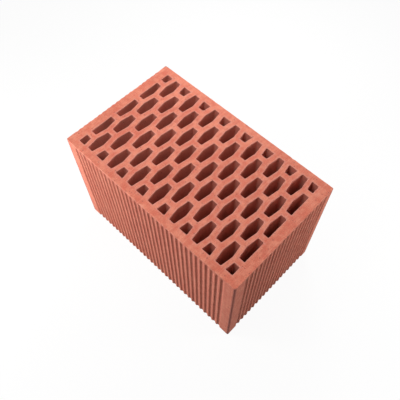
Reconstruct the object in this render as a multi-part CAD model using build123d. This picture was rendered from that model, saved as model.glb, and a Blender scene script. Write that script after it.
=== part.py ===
from build123d import *
import math
import os

# Perforated clay block, in millimetres: a column of clay extruded along Z and cut to height by a wire.
# Origin: middle of the lower bed face. X runs along the length, Y across the width, Z up along the holes.

# Block, over the crests of its sides
block_length = 290.0
block_width = 176.5
block_height = 186.0
corner_radius = 2.0

# Upright grooves that key mortar and render, in a row on each of the four sides
groove_pitch = 7.9
groove_radius = 3.2
groove_depth = 1.65
groove_crest_radius = 0.6
# A centred row keeps at least this distance from a corner of the block to the middle of its first groove
plain_corner = 15.0
# The rows on the two end faces stand off the middle, towards the back, by these distances
right_row_shift = 3.0
left_row_shift = 1.0

# Perforation: long hexagons in columns along Y, where every other column is half a row out of step
hole_length = 33.0
hole_width = 13.8
hole_end_width = 8.6
hole_corner_chamfer = 0.8
column_pitch = 18.33
# The outermost columns stand a little nearer to the next ones
end_column_pitch = 16.9
row_pitch = 41.0
# A hexagon that the edge of the pattern would leave shorter than this is left out
shortest_hole = 8.0

# Solid clay between the pattern's straight edge and the crests of the end faces and of the long faces
end_shell = 14.1
side_shell = 10.3


def groove_places(side_length, shift):
    """Places of the groove centres along one side, from its middle. A positive shift moves them right."""
    count = math.floor((side_length - 2 * plain_corner) / groove_pitch) + 1
    return [(i - (count - 1) / 2) * groove_pitch + shift for i in range(count)]


def grooved_side(side_length, distance, shift=0):
    """One side in plan, left to right along Y = -distance: flat crests with round grooves between them."""
    centre_drop = groove_radius - groove_depth
    reach = groove_radius + groove_crest_radius
    half_mouth = math.sqrt(reach**2 - (centre_drop + groove_crest_radius) ** 2)
    # The waist is where the crest's rounding turns into the groove's own arc
    half_waist = half_mouth * groove_radius / reach
    waist_depth = (centre_drop + groove_crest_radius) * groove_radius / reach - centre_drop
    edges = []
    start = (corner_radius - side_length / 2, -distance)
    for place in groove_places(side_length, shift):
        mouth_left = (place - half_mouth, -distance)
        waist_left = (place - half_waist, waist_depth - distance)
        waist_right = (place + half_waist, waist_depth - distance)
        mouth_right = (place + half_mouth, -distance)
        edges.append(Line(start, mouth_left))
        edges.append(RadiusArc(mouth_left, waist_left, -groove_crest_radius))
        edges.append(RadiusArc(waist_left, waist_right, groove_radius))
        edges.append(RadiusArc(waist_right, mouth_right, -groove_crest_radius))
        start = mouth_right
    edges.append(Line(start, (side_length / 2 - corner_radius, -distance)))
    return Curve(edges)


def block_outline():
    """The block in plan: four grooved sides joined by rounded corners."""
    front = grooved_side(block_length, block_width / 2)
    right = Rot(0, 0, 90) * grooved_side(block_width, block_length / 2, right_row_shift)
    back = Rot(0, 0, 180) * front
    left = Rot(0, 0, -90) * grooved_side(block_width, block_length / 2, -left_row_shift)
    x = block_length / 2
    y = block_width / 2
    r = corner_radius
    corners = [
        RadiusArc((x - r, -y), (x, r - y), -r),
        RadiusArc((x, y - r), (x - r, y), -r),
        RadiusArc((r - x, y), (-x, y - r), -r),
        RadiusArc((-x, r - y), (r - x, -y), -r),
    ]
    sides = [edge for side in (front, right, back, left) for edge in side.edges()]
    return make_face(sides + corners)


def column_places():
    """Place along X of each column of holes, under its number counted from the middle column."""
    outermost = math.floor((block_length / 2 - end_shell - end_column_pitch) / column_pitch) + 1
    places = {i: i * column_pitch for i in range(1 - outermost, outermost)}
    end_place = (outermost - 1) * column_pitch + end_column_pitch
    places[-outermost] = -end_place
    places[outermost] = end_place
    return places


def holes():
    """All the holes in plan: hexagons, cut straight where they cross the pattern's edge."""
    half_length = hole_length / 2
    half_end = hole_end_width / 2
    right_half = [(half_end, -half_length), (hole_width / 2, 0), (half_end, half_length)]
    left_half = [(-x, -y) for x, y in right_half]
    hexagon = make_face(Polyline(*right_half, *left_half, close=True))
    pattern_half_width = block_width / 2 - side_shell
    pattern = Rectangle(block_length - 2 * end_shell, 2 * pattern_half_width)
    rows = math.ceil(pattern_half_width / row_pitch) + 1
    found = []
    for column, x in column_places().items():
        step = 0 if column % 2 else 0.5
        for row in range(-rows, rows + 1):
            y = (row + step) * row_pitch
            if abs(y) - half_length > pattern_half_width - shortest_hole:
                continue
            hole = pattern & (Pos(x, y) * hexagon)
            # The blunt corners in the middle of the long sides stay as they are
            sharp_corners = [corner for corner in hole.vertices() if abs(corner.Y - y) > 0.001]
            found.append(chamfer(sharp_corners, hole_corner_chamfer))
    return found


brick = extrude(block_outline() - holes(), block_height)
brick.label = "brick"
brick.color = Color(0.72, 0.40, 0.31)

os.makedirs("parts", exist_ok=True)
export_step(brick, "parts/brick.step")
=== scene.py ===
import math
import random
import bmesh
import bpy
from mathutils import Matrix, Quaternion, Vector
from mathutils.geometry import delaunay_2d_cdt
from mathutils.kdtree import KDTree
from mathutils.noise import noise


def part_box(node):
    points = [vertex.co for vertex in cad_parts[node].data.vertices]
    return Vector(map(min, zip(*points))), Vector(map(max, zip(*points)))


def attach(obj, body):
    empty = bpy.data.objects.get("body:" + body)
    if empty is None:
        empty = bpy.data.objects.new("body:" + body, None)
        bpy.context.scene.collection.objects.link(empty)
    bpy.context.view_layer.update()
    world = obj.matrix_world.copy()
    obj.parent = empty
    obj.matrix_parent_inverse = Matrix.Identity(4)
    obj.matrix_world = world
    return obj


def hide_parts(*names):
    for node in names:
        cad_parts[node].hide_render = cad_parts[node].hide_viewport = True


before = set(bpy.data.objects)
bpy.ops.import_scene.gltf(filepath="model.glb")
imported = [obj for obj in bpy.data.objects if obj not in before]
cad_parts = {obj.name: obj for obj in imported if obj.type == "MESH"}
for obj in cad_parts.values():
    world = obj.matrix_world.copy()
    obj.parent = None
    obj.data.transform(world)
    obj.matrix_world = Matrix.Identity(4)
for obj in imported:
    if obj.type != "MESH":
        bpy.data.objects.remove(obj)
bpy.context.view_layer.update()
low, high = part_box("brick")
middle = (low + high) / 2
half = (high - low) / 2
print("frame loaded")

# The block's mesh. Lengths in metres
brickShape = {
    "seed": 11,
    "planSlack": 0.00004,  # points this near to a straight run in plan are dropped
    "sideStep": 0.0032,  # longest edge in plan, on the outside
    "holeStep": 0.0045,  # and round a hole
    "rimDepths": (0.0016, 0.003, 0.0043, 0.0056, 0.007, 0.0086, 0.0115),  # rows of points near a cut face
    "holeRimDepths": (0.0016, 0.0056),
    "rows": 11,  # rows of points between those
    "holeRows": 7,
    "cornerReach": 0.004,  # no groove comes this near to a corner
    "arrisReach": 0.0021,
    "mitreLimit": 0.6,  # keeps a hole's sharpest corners from moving too far
    # Rounding of the edges round the cut faces
    "rim": {"outside": 0.0004, "hole": 0.00014},
    "rimTurns": (90, 60, 30, 0),  # degrees, from the cut face to the wall
    "rimSpread": 0.00015,
    "rimWave": 0.005,
    "rimLimit": 0.0013,
    "cutTurn": 1,  # radians; more than this belongs to the cut face
    "wornFade": 0.2,
    "chipsAbove": 70,
    "chipsBelow": 110,
    "chipRadius": (0.0008, 0.0030),
    "chipDepth": (0.0002, 0.0009),
    # Unevenness of the cut faces and of the walls
    "dip": 0.00022,
    "dipWaves": (0.021, 0.006),
    "wallWobble": 0.00014,
    "wobbleWave": 0.012,
    "wobbleStretch": 0.35,
    "wobbleDepth": 0.0004,  # deeper than this in a groove there is none
    "holeWander": 0.0003,  # how far a hole may stand off its place
    # The cutting wire dragged clay into the grooves: full to the first depth, gone at the second
    "smearDepths": (0.0022, 0.0088),
    "smearReachSpread": 0.45,
    "smear": {"front": 0.93, "right": 0.9, "back": 0.97, "left": 0.6},  # share of the groove that it filled
    "smearSpread": 0.1,
    "smearWaves": (0.009, 0.012),
    "smearStretch": 0.3,
    "wholeGroove": 0.0016,  # a groove this deep is all shaded
    # Points scattered over the two cut faces. The last three are shares of the first
    "capStep": 0.0024,
    "capRowStep": 0.866,
    "capJitter": 0.3,
    "capClearance": 0.6,
    "normalWeight": 80,
}
pointMarks = ("worn", "groove", "inside", "cut", "arris")
chance = random.Random(brickShape["seed"])


def wave(x, y, z, size):
    return noise(Vector((x, y, z)) / size)


def fade(value, start, end):
    t = min(1, max(0, (value - start) / (end - start)))
    return t * t * (3 - 2 * t)


def between(ends, share):
    return ends[0] + share * (ends[1] - ends[0])


def readOutlines(node, level):
    # Closed outlines of the flat face at this height, each with the clay on its left. The longest comes first
    cad = bmesh.new()
    cad.from_mesh(node.data)
    bmesh.ops.remove_doubles(cad, verts=cad.verts, dist=1e-6)
    cad.normal_update()
    after = {}
    for face in cad.faces:
        if face.normal.z < 0.9 or face.calc_center_median().z < level - 1e-5:
            continue
        for corner in face.loops:
            if any(other.normal.z < 0.9 for other in corner.edge.link_faces):
                after[corner.vert] = corner.link_loop_next.vert
    outlines = []
    while after:
        vert = next(iter(after))
        outline = []
        while vert in after:
            outline.append(Vector(vert.co.xy))
            vert = after.pop(vert)
        outlines.append(outline)
    cad.free()
    outlines.sort(key=lambda outline: -max(p.x for p in outline) + min(p.x for p in outline))
    return outlines


def offLine(point, start, end):
    run = end - start
    along = min(1, max(0, (point - start).dot(run) / max(run.length_squared, 1e-12)))
    return (point - start - run * along).length


def thinned(points, slack):
    kept = [0]
    for last in range(2, len(points) + 1):
        start, end = points[kept[-1]], points[last % len(points)]
        if any(offLine(p, start, end) > slack for p in points[kept[-1] + 1:last]):
            kept.append(last - 1)
    return [points[i] for i in kept]


def divided(points, step):
    found = []
    for here, there in zip(points, points[1:] + points[:1]):
        parts = math.ceil((there - here).length / step)
        found += [here.lerp(there, i / parts) for i in range(parts)]
    return found


def fromSides(point):
    # How far the point lies inside the nearer end face and the nearer long face
    return half.x - abs(point.x - middle.x), half.y - abs(point.y - middle.y)


def sideOf(point):
    # Name of the side, the way out of it, and how deep in a groove of that side the point is
    fromEnd, fromLong = fromSides(point)
    if max(fromEnd, fromLong) < brickShape["cornerReach"]:
        return "corner", Vector((0, 0)), 0
    if fromEnd < fromLong:
        isRight = point.x > middle.x
        return ("right" if isRight else "left"), Vector((1 if isRight else -1, 0)), fromEnd
    isBack = point.y > middle.y
    return ("back" if isBack else "front"), Vector((0, 1 if isBack else -1)), fromLong


def waysOut(points, isOutside):
    # Direction from the clay into the air at each point. At a hole's corners it is
    # longer, so that both walls move evenly
    found = []
    for i, here in enumerate(points):
        before = (here - points[i - 1]).normalized()
        after = (points[(i + 1) % len(points)] - here).normalized()
        run = (before + after).normalized()
        way = Vector((run.y, -run.x))
        side, out, depth = sideOf(here)
        if isOutside and side != "corner":
            way = out
        elif not isOutside:
            way = way / max(brickShape["mitreLimit"], way.dot(Vector((after.y, -after.x))))
        found.append(way)
    return found


def makeChips(outlines, count):
    # A chip sits at any point of the outlines, where the outer one counts twice
    edges = list(outlines[0]) * 2 + [p for outline in outlines[1:] for p in outline]
    chips = []
    for i in range(count):
        size = chance.random() ** 2
        radius, depth = [between(brickShape[name], size) for name in ("chipRadius", "chipDepth")]
        chips.append((chance.choice(edges), radius, depth))
    return chips


def rimSizes(points, layer, rim, chips):
    shape = brickShape
    sizes = [rim + shape["rimSpread"] * wave(p.x, p.y, layer, shape["rimWave"]) for p in points]
    for place, radius, depth in chips:
        for i, point in enumerate(points):
            near = (point - place).length / radius
            if near < 1:
                sizes[i] += depth * (1 - near * near)
    return [min(size, shape["rimLimit"]) for size in sizes]


def faceHeight(x, y, isTop):
    coarse, fine = brickShape["dipWaves"]
    layer = 3 if isTop else 8
    dip = brickShape["dip"] * (0.5 + 0.5 * wave(x, y, layer, coarse) + 0.25 * wave(x, y, 5, fine))
    return high.z - max(0, dip) if isTop else low.z + max(0, dip)


def smearShare(point, side, z):
    shape = brickShape
    if side == "corner":
        return 0
    along = point.x if side in ("front", "back") else point.y
    shareWave, reachWave = shape["smearWaves"]
    share = shape["smear"][side] + shape["smearSpread"] * wave(along, z * shape["smearStretch"], 2.5, shareWave)
    reach = 1 + shape["smearReachSpread"] * wave(along, 0, 7.5, reachWave)
    start, end = [depth * reach for depth in shape["smearDepths"]]
    return min(1, max(0, share)) * (1 - fade(high.z - z, start, end))


def addPoint(mesh, x, y, z, **marks):
    mesh["points"].append((x, y, z))
    for name in pointMarks:
        mesh[name].append(marks.get(name, 0))
    return len(mesh["points"]) - 1


def makeLevels(depths, rows):
    first, last = low.z + depths[-1], high.z - depths[-1]
    rest = [first + (last - first) * (i + 1) / (rows + 1) for i in range(rows)]
    return [low.z + d for d in depths] + rest + [high.z - d for d in reversed(depths)]


def makeWall(points, isOutside, chipsBelow, chipsAbove, mesh):
    # Rings of points from the lower face to the upper one. Gives back the indices of the two end rings
    shape = brickShape
    ways = waysOut(points, isOutside)
    rim = shape["rim"]["outside" if isOutside else "hole"]
    sizes = {"below": rimSizes(points, 1, rim, chipsBelow), "above": rimSizes(points, 2, rim, chipsAbove)}
    if isOutside:
        levels = makeLevels(shape["rimDepths"], shape["rows"])
        shift = Vector((0, 0))
    else:
        levels = makeLevels(shape["holeRimDepths"], shape["holeRows"])
        shift = Vector([chance.uniform(-1, 1) * shape["holeWander"] for i in range(2)])
    turns = [math.radians(a) for a in shape["rimTurns"]]
    rows = [("below", turn) for turn in turns] + [("wall", z) for z in levels]
    rows += [("above", turn) for turn in reversed(turns)]
    rings = []
    for kind, value in rows:
        ring = []
        for i, point in enumerate(points):
            side, out, depth = sideOf(point) if isOutside else ("hole", Vector((0, 0)), 0)
            if kind == "wall":
                z, inset, worn, cut = value, 0, 0, 0
            else:
                isTop = kind == "above"
                size = sizes[kind][i]
                fall = size * (1 - math.sin(value))
                z = faceHeight(point.x, point.y, isTop) + (-fall if isTop else fall)
                inset = size * (1 - math.cos(value))
                worn = 1 - value * shape["wornFade"]
                cut = 1 if value > shape["cutTurn"] else 0
            filled = smearShare(point, side, z) if isOutside else 0
            if depth < shape["wobbleDepth"]:
                wobble = wave(point.x, point.y, z * shape["wobbleStretch"], shape["wobbleWave"])
                inset += shape["wallWobble"] * (0.5 + 0.5 * wobble)
            place = point + shift + out * depth * filled - ways[i] * inset
            groove = min(1, depth * (1 - filled) / shape["wholeGroove"])
            arris = 1 if max(fromSides(point)) < shape["arrisReach"] else 0
            inside = 0 if isOutside else 1
            ring.append(addPoint(mesh, *place, z, worn=worn, groove=groove, inside=inside, cut=cut, arris=arris))
        rings.append(ring)
    for lower, upper in zip(rings, rings[1:]):
        for i in range(len(points)):
            j = (i + 1) % len(points)
            mesh["faces"].append((lower[i], lower[j], upper[j], upper[i]))
    return rings[0], rings[-1]


def isWithin(point, outline):
    inside = False
    for a, b in zip(outline, outline[1:] + outline[:1]):
        if (a.y > point.y) != (b.y > point.y) and point.x < a.x + (point.y - a.y) * (b.x - a.x) / (b.y - a.y):
            inside = not inside
    return inside


def scatter(outlines):
    # Points a little off a regular pattern, on the clay and clear of the outlines
    edgePoints = [p for outline in outlines for p in outline]
    near = KDTree(len(edgePoints))
    for i, place in enumerate(edgePoints):
        near.insert((place.x, place.y, 0), i)
    near.balance()
    holes = []
    for outline in outlines[1:]:
        xs, ys = [p.x for p in outline], [p.y for p in outline]
        holes.append((outline, min(xs), max(xs), min(ys), max(ys)))
    step = brickShape["capStep"]
    jitter = brickShape["capJitter"]
    found = []
    row = 0
    y = low.y
    while y < high.y:
        x = low.x + (row % 2) * step / 2
        while x < high.x:
            offX, offY = chance.uniform(-jitter, jitter), chance.uniform(-jitter, jitter)
            point = Vector((x + offX * step, y + offY * step))
            x += step
            if near.find((point.x, point.y, 0))[2] < step * brickShape["capClearance"]:
                continue
            inHole = any(
                left < point.x < right and front < point.y < back and isWithin(point, outline)
                for outline, left, right, front, back in holes
            )
            if isWithin(point, outlines[0]) and not inHole:
                found.append(point)
        y += step * brickShape["capRowStep"]
        row += 1
    return found


def makeCap(rings, isTop, mesh):
    # Closes a cut face with triangles between the outlines
    outlines = [[Vector(mesh["points"][i][:2]) for i in ring] for ring in rings]
    indices = [i for ring in rings for i in ring]
    places = [p for outline in outlines for p in outline]
    edges = []
    for ring in rings:
        start = len(edges)
        edges += [(start + i, start + (i + 1) % len(ring)) for i in range(len(ring))]
    for point in scatter(outlines):
        places.append(point)
        indices.append(addPoint(mesh, *point, faceHeight(*point, isTop), cut=1))
    verts, _, faces, origins, _, _ = delaunay_2d_cdt(places, edges, [], 1, 1e-9)
    # Where two edges cross, the triangulation adds a point
    added = [i for i, origin in enumerate(origins) if not origin]
    for i in added:
        origins[i].append(len(indices))
        indices.append(addPoint(mesh, *verts[i], faceHeight(*verts[i], isTop), worn=1, cut=1))
    print("cap", "above" if isTop else "below", len(places), "points", len(added), "added")
    holeOf = {i: number for number, ring in enumerate(rings[1:], 1) for i in ring}
    for face in faces:
        corners = [indices[origins[i][0]] for i in face]
        owners = {holeOf.get(i, 0) for i in corners}
        if len(owners) == 1 and 0 not in owners:
            centre = sum((verts[i] for i in face), Vector((0, 0))) / len(face)
            if isWithin(centre, outlines[owners.pop()]):
                continue
        a, b, c = [verts[i] for i in face[:3]]
        turnsLeft = (b - a).cross(c - a) > 0
        mesh["faces"].append(corners if turnsLeft == isTop else corners[::-1])


def makeBrick():
    shape = brickShape
    outlines = [thinned(o, shape["planSlack"]) for o in readOutlines(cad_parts["brick"], high.z)]
    outlines = [divided(o, shape["holeStep" if i else "sideStep"]) for i, o in enumerate(outlines)]
    print("plan:", len(outlines), "outlines,", sum(len(o) for o in outlines), "points")
    chipsBelow = makeChips(outlines, shape["chipsBelow"])
    chipsAbove = makeChips(outlines, shape["chipsAbove"])
    mesh = {name: [] for name in ("points", "faces", *pointMarks)}
    ends = [makeWall(o, i == 0, chipsBelow, chipsAbove, mesh) for i, o in enumerate(outlines)]
    makeCap([upper for lower, upper in ends], True, mesh)
    makeCap([lower for lower, upper in ends], False, mesh)
    data = bpy.data.meshes.new("brickBody")
    data.from_pydata(mesh["points"], [], mesh["faces"])
    data.update()
    data.shade_smooth()
    for name in pointMarks:
        data.attributes.new(name, "FLOAT", "POINT").data.foreach_set("value", mesh[name])
    brick = bpy.data.objects.new("brickBody", data)
    bpy.context.collection.objects.link(brick)
    weigh = brick.modifiers.new("evenNormals", "WEIGHTED_NORMAL")
    weigh.weight = shape["normalWeight"]
    print("brick mesh:", sum(len(f.vertices) - 2 for f in data.polygons), "triangles")
    return brick


brick = makeBrick()
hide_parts("brick")
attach(brick, "root")

# The fired clay's looks. Lengths in metres, and what has no note is a share from 0 to 1
clayLook = {
    "body": (0.65, 0.176, 0.107),
    "bodyShare": 0.55,
    "lighter": (0.73, 0.235, 0.145),  # patches that the kiln left paler
    "deeper": (0.54, 0.132, 0.08),
    "patchSize": 0.045,
    "paler": (0.76, 0.265, 0.17),  # blotches of a few millimetres
    "redder": (0.6, 0.12, 0.068),
    "mottle": 0.65,
    "cloudSize": 0.008,
    "grainSize": 0.0011,
    "grainTone": (0.86, 1.12),  # darkest and palest grain against the rest
    # Marks of the cutting wire over the cut faces and of the die along the sides: lengths in X, Y and Z
    "dragSize": (0.0016, 0.03, 0.01),
    "streakSize": (0.0022, 0.0022, 0.12),
    "darkMarks": 0.4,
    "paleMarks": 0.3,
    "dust": (0.76, 0.33, 0.24),  # scuffed edges, and a trace of it over the sides
    "sideDust": 0.12,
    "edgeDust": 0.6,
    "handled": 0.1,  # crests, darkened by handling
    "darkening": (0.27, 0.075, 0.06),  # darkens the corners, and is the painted shade in pits and in the bottoms of the grooves
    # share of painted shade in the bottoms of the grooves
    "grooveShade": 0.28,
    "paintedHoleLight": (0.64, 0.25, 0.19),  # painted light on the walls of the holes
    "holeLightShare": 0.8,
    "pitSize": 0.0035,
    "pitShade": 0.6,
    "fleckShare": 0.5,
    "roughness": 0.88,
    "roughSpread": 0.05,
    # Height of the whole relief, and how much of it each kind gives
    "relief": 0.00035,
    "grainRelief": 0.5,
    "markRelief": 0.9,
    "cloudRelief": 0.5,
    "pitRelief": 1.1,
}


def addNode(tree, kind, sockets=(), **settings):
    made = tree.nodes.new("ShaderNode" + kind)
    for name, value in settings.items():
        setattr(made, name, value)
    for name, value in dict(sockets).items():
        if isinstance(value, bpy.types.NodeSocket):
            tree.links.new(value, made.inputs[name])
        else:
            made.inputs[name].default_value = value
    return made


def stretched(tree, coords, sizes):
    # Coordinates that run from 0 to 1 over these lengths in X, Y and Z
    return addNode(tree, "Mapping", {"Vector": coords, "Scale": [1 / s for s in sizes]}).outputs[0]


def noiseOf(tree, coords, sizes, detail=4, roughness=0.6):
    sockets = {"Vector": stretched(tree, coords, sizes), "Scale": 1, "Detail": detail, "Roughness": roughness}
    return addNode(tree, "TexNoise", sockets).outputs[0]


def spread(tree, value, fromMin, fromMax, toMin=0, toMax=1):
    sockets = {"Value": value, "From Min": fromMin, "From Max": fromMax, "To Min": toMin, "To Max": toMax}
    return addNode(tree, "MapRange", sockets, interpolation_type="SMOOTHSTEP").outputs[0]


def combine(tree, operation, a, b):
    return addNode(tree, "Math", {0: a, 1: b}, operation=operation).outputs[0]


def times(tree, a, b):
    return combine(tree, "MULTIPLY", a, b)


def blendColour(tree, share, a, b, kind="MIX"):
    a = a if isinstance(a, bpy.types.NodeSocket) else (*a, 1)
    b = b if isinstance(b, bpy.types.NodeSocket) else (*b, 1)
    return addNode(tree, "Mix", {0: share, 6: a, 7: b}, data_type="RGBA", blend_type=kind).outputs[2]


def makeClay():
    look = clayLook
    clay = bpy.data.materials.new("firedClay")
    clay.use_nodes = True
    tree = clay.node_tree
    shader = tree.nodes["Principled BSDF"]
    coords = addNode(tree, "TexCoord").outputs["Object"]
    marksOf = {name: addNode(tree, "Attribute", attribute_name=name).outputs["Fac"] for name in pointMarks}
    inside, groove = marksOf["inside"], marksOf["groove"]
    cut = spread(tree, marksOf["cut"], 0.4, 0.9)
    outside = times(tree, combine(tree, "SUBTRACT", 1, cut), combine(tree, "SUBTRACT", 1, inside))

    grain = noiseOf(tree, coords, [look["grainSize"]] * 3)
    patch = noiseOf(tree, coords, [look["patchSize"]] * 3, 3, 0.55)
    cloud = noiseOf(tree, coords, [look["cloudSize"]] * 3)
    streak = noiseOf(tree, coords, look["streakSize"])
    drag = noiseOf(tree, coords, look["dragSize"])
    marks = addNode(tree, "Mix", {0: cut, 2: streak, 3: drag}).outputs[0]

    # Open pores and pale flecks: a few of the cells have one
    cellSize = [look["pitSize"]] * 3
    cells = addNode(tree, "TexVoronoi", {"Vector": stretched(tree, coords, cellSize), "Scale": 1}).outputs
    lot = addNode(tree, "SeparateColor", {0: cells["Color"]}).outputs
    reach = spread(tree, lot[0], 0.55, 1, 0, 0.3)
    pit = spread(tree, combine(tree, "SUBTRACT", reach, cells["Distance"]), 0, 0.12)
    fleck = times(tree, spread(tree, lot[1], 0.9, 1), spread(tree, cells["Distance"], 0.16, 0.3, 1, 0))

    colour = blendColour(tree, spread(tree, patch, 0.35, 0.65), look["deeper"], look["lighter"])
    colour = blendColour(tree, look["bodyShare"], colour, look["body"])
    colour = blendColour(tree, spread(tree, cloud, 0.45, 0.68, 0, look["mottle"]), colour, look["paler"])
    colour = blendColour(tree, spread(tree, cloud, 0.55, 0.32, 0, look["mottle"]), colour, look["redder"])
    colour = blendColour(tree, spread(tree, marks, 0.5, 0.32, 0, look["darkMarks"]), colour, look["deeper"])
    colour = blendColour(tree, spread(tree, marks, 0.52, 0.7, 0, look["paleMarks"]), colour, look["dust"])

    # The sides are a little pinker than the cut faces, their crests are darkened by
    # handling, and the bottoms of their grooves are darkened with painted shade
    colour = blendColour(tree, times(tree, outside, look["sideDust"]), colour, look["dust"])
    crest = times(tree, times(tree, outside, spread(tree, groove, 0.3, 0)), spread(tree, cloud, 0.35, 0.6, 1, 0.6))
    colour = blendColour(tree, times(tree, crest, look["handled"]), colour, look["deeper"])
    # painted shade in the bottoms of the grooves, the deeper the darker
    paintedGrooveShade = times(tree, outside, spread(tree, groove, 0.3, 1, 0, look["grooveShade"]))
    colour = blendColour(tree, paintedGrooveShade, colour, look["darkening"])
    # painted light: the walls of the holes are paled
    colour = blendColour(tree, times(tree, inside, look["holeLightShare"]), colour, look["paintedHoleLight"])
    rubbed = times(tree, spread(tree, marksOf["worn"], 0.55, 0.9), spread(tree, cloud, 0.4, 0.62, 0.15, 0.75))
    colour = blendColour(tree, times(tree, rubbed, look["edgeDust"]), colour, look["dust"])
    # the corners are darkened in streaks
    darkening = times(tree, spread(tree, marksOf["arris"], 0.5, 1), spread(tree, streak, 0.35, 0.6, 0.35, 0.8))
    colour = blendColour(tree, darkening, colour, look["darkening"])

    tone = spread(tree, grain, 0.3, 0.7, *look["grainTone"])
    tone = addNode(tree, "CombineColor", {0: tone, 1: tone, 2: tone}).outputs[0]
    colour = blendColour(tree, 1, colour, tone, "MULTIPLY")
    # painted shade in the open pores
    colour = blendColour(tree, times(tree, pit, look["pitShade"]), colour, look["darkening"])
    colour = blendColour(tree, times(tree, fleck, look["fleckShare"]), colour, look["dust"])
    tree.links.new(colour, shader.inputs["Base Color"])

    rough = spread(tree, cloud, 0.3, 0.7, -look["roughSpread"], look["roughSpread"])
    rough = combine(tree, "ADD", rough, look["roughness"])
    tree.links.new(rough, shader.inputs["Roughness"])

    height = times(tree, grain, look["grainRelief"])
    height = combine(tree, "ADD", height, times(tree, marks, look["markRelief"]))
    height = combine(tree, "ADD", height, times(tree, cloud, look["cloudRelief"]))
    height = combine(tree, "SUBTRACT", height, times(tree, pit, look["pitRelief"]))
    bump = addNode(tree, "Bump", {"Height": height, "Distance": look["relief"], "Strength": 1})
    tree.links.new(bump.outputs[0], shader.inputs["Normal"])
    return clay


brick.data.materials.append(makeClay())
print("clay done")

view = {
    "place": (0.2412, -0.2384, 0.6877),
    "aim": (0.0033, 0.0033, 0.093),
    "roll": -0.53,  # degrees
    "lens": 43.96,
    "sensor": 36,
}


def makeCamera():
    data = bpy.data.cameras.new("camera")
    data.lens = view["lens"]
    data.sensor_width = view["sensor"]
    camera = bpy.data.objects.new("camera", data)
    bpy.context.collection.objects.link(camera)
    place = Vector(view["place"])
    look = (Vector(view["aim"]) - place).to_track_quat("-Z", "Y")
    camera.rotation_mode = "QUATERNION"
    camera.rotation_quaternion = look @ Quaternion((0, 0, 1), math.radians(view["roll"]))
    camera.location = place
    bpy.context.scene.camera = camera


# Each lamp's distance from the block's middle, azimuth from +X, elevation, power and size
lamps = {
    "keyLamp": (0.6, 226, 12, 3.35, 0.25),
    "backLamp": (0.6, 118, 36, 2.6, 0.3),
    "topLamp": (0.6, 180, 76, 0.5, 0.3),
    "frontLamp": (0.6, 268, 64, 1.1, 0.25),
    "rightLamp": (0.6, 32, 18, 1.45, 0.25),
}


def makeLamps():
    for name, (distance, azimuth, elevation, power, size) in lamps.items():
        data = bpy.data.lights.new(name, "AREA")
        data.energy = power
        data.shape = "DISK"
        data.size = size
        lamp = bpy.data.objects.new(name, data)
        bpy.context.collection.objects.link(lamp)
        a, e = math.radians(azimuth), math.radians(elevation)
        way = Vector((math.cos(a) * math.cos(e), math.sin(a) * math.cos(e), math.sin(e)))
        lamp.location = middle + way * distance
        lamp.rotation_mode = "QUATERNION"
        lamp.rotation_quaternion = (-way).to_track_quat("-Z", "Y")


# White paper below and all round
surroundings = {
    "floorSize": 8,
    "floorTone": 0.9,
    # Share of plain white in the floor as it is seen, so that only a trace of the shadow is left
    "plainWhite": 0.94,
    # Tone of the floor as it lights the block, low so that the block's lower edges stay dark
    "thrownBack": 0.25,
    "airLight": 0.06,
}


def seenStraight(tree):
    # 1 where something is seen by the camera, in a gloss or through glass, and 0 where it only lights the block
    path = addNode(tree, "LightPath").outputs
    seen = combine(tree, "MAXIMUM", path["Is Camera Ray"], path["Is Glossy Ray"])
    return combine(tree, "MAXIMUM", seen, path["Is Transmission Ray"])


def makeFloor():
    bpy.ops.mesh.primitive_plane_add(size=surroundings["floorSize"])
    floor = bpy.context.object
    floor.name = "floor"
    paper = bpy.data.materials.new("whitePaper")
    paper.use_nodes = True
    tree = paper.node_tree
    shader = tree.nodes["Principled BSDF"]
    shader.inputs["Roughness"].default_value = 1
    seen = seenStraight(tree)
    tone = blendColour(tree, seen, [surroundings["thrownBack"]] * 3, [surroundings["floorTone"]] * 3)
    tree.links.new(tone, shader.inputs["Base Color"])
    glow = addNode(tree, "Emission", {"Color": (1, 1, 1, 1), "Strength": 1})
    plain = times(tree, seen, surroundings["plainWhite"])
    mixed = addNode(tree, "MixShader", {0: plain, 1: shader.outputs[0], 2: glow.outputs[0]})
    tree.links.new(mixed.outputs[0], tree.nodes["Material Output"].inputs["Surface"])
    floor.data.materials.append(paper)


def makeWorld():
    world = bpy.data.worlds.new("world")
    bpy.context.scene.world = world
    world.use_nodes = True
    tree = world.node_tree
    strength = spread(tree, seenStraight(tree), 0, 1, surroundings["airLight"], 1)
    tree.links.new(strength, tree.nodes["Background"].inputs["Strength"])
    tree.nodes["Background"].inputs["Color"].default_value = (1, 1, 1, 1)


makeCamera()
makeLamps()
makeFloor()
makeWorld()
bpy.context.scene.view_settings.view_transform = "Standard"
print("camera, lamps and floor done")
